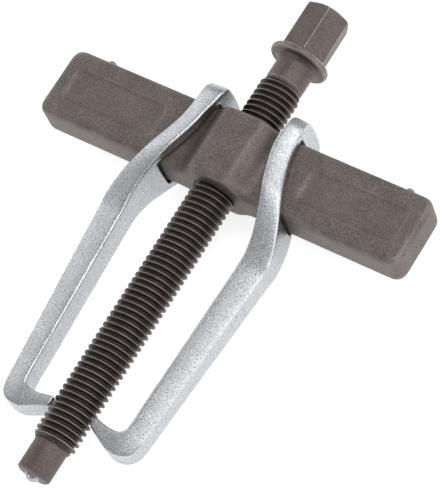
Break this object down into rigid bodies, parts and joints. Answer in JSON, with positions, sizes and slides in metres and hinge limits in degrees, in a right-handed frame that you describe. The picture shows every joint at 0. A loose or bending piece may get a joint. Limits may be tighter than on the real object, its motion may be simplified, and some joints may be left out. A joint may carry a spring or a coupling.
{
  "type": "two-jaw gear puller",
  "caption": "Two-jaw gear puller: crossbar with sliding hooked jaws, threaded centre screw with hexagon head and ball-ended point, and spring end stops.",
  "frame": {"origin": "under the middle of the puller's outline, on the surface that its back lies on", "axes": "+X along the crossbar, +Y along the forcing screw towards its hexagon, +Z out of the front face"},
  "size_m": [0.129, 0.1716, 0.0226],
  "materials": {
    "forged_steel": "phosphated forging, matte grey-brown",
    "screw_steel": "phosphated, oiled thread",
    "plated_steel": "satin plating over a blasted forging",
    "bright_steel": "polished hardened steel",
    "sleeve_steel": "turned steel",
    "spring_steel": "drawn wire"
  },
  "bodies": {
    "beam": {"crossbar": "forged_steel", "stop_sleeve_left": "sleeve_steel", "stop_sleeve_right": "sleeve_steel", "stop_spring_left": "spring_steel", "stop_spring_right": "spring_steel"},
    "screw_tip": {"tip_ball": "bright_steel"},
    "screw": {"forcing_screw": "screw_steel"},
    "left_jaw": {"jaw_left": "plated_steel"},
    "right_jaw": {"jaw_right": "plated_steel"},
    "left_stop": {"stop_pin_left": "bright_steel"},
    "right_stop": {"stop_pin_right": "bright_steel"}
  },
  "joints": [
    {"name": "screw_feed", "type": "slide", "parent": "beam", "child": "screw_tip", "axis": [0, 1, 0], "range_m": [-0.015, 0.085]},
    {"name": "screw_turn", "type": "hinge", "parent": "screw_tip", "child": "screw", "pos_m": [0, 0.02882, 0.01109], "axis": [0, 1, 0], "range_deg": [-2700, 15300]},
    {"name": "jaw_left_slide", "type": "slide", "parent": "beam", "child": "left_jaw", "axis": [-1, 0, 0], "range_m": [0, 0.0338]},
    {"name": "jaw_right_slide", "type": "slide", "parent": "beam", "child": "right_jaw", "axis": [1, 0, 0], "range_m": [-0.0003, 0.0335]},
    {"name": "stop_left_press", "type": "slide", "parent": "beam", "child": "left_stop", "axis": [0, -1, 0], "range_m": [0, 0.0022], "stiffness_N_per_m": 1500, "springref_m": -0.002, "deforming": ["stop_spring_left"]},
    {"name": "stop_right_press", "type": "slide", "parent": "beam", "child": "right_stop", "axis": [0, -1, 0], "range_m": [0, 0.0022], "stiffness_N_per_m": 1500, "springref_m": -0.002, "deforming": ["stop_spring_right"]}
  ],
  "couplings": [
    {"joint": "screw_turn", "follows": "screw_feed", "rad_per_m": 3141.6}
  ]
}
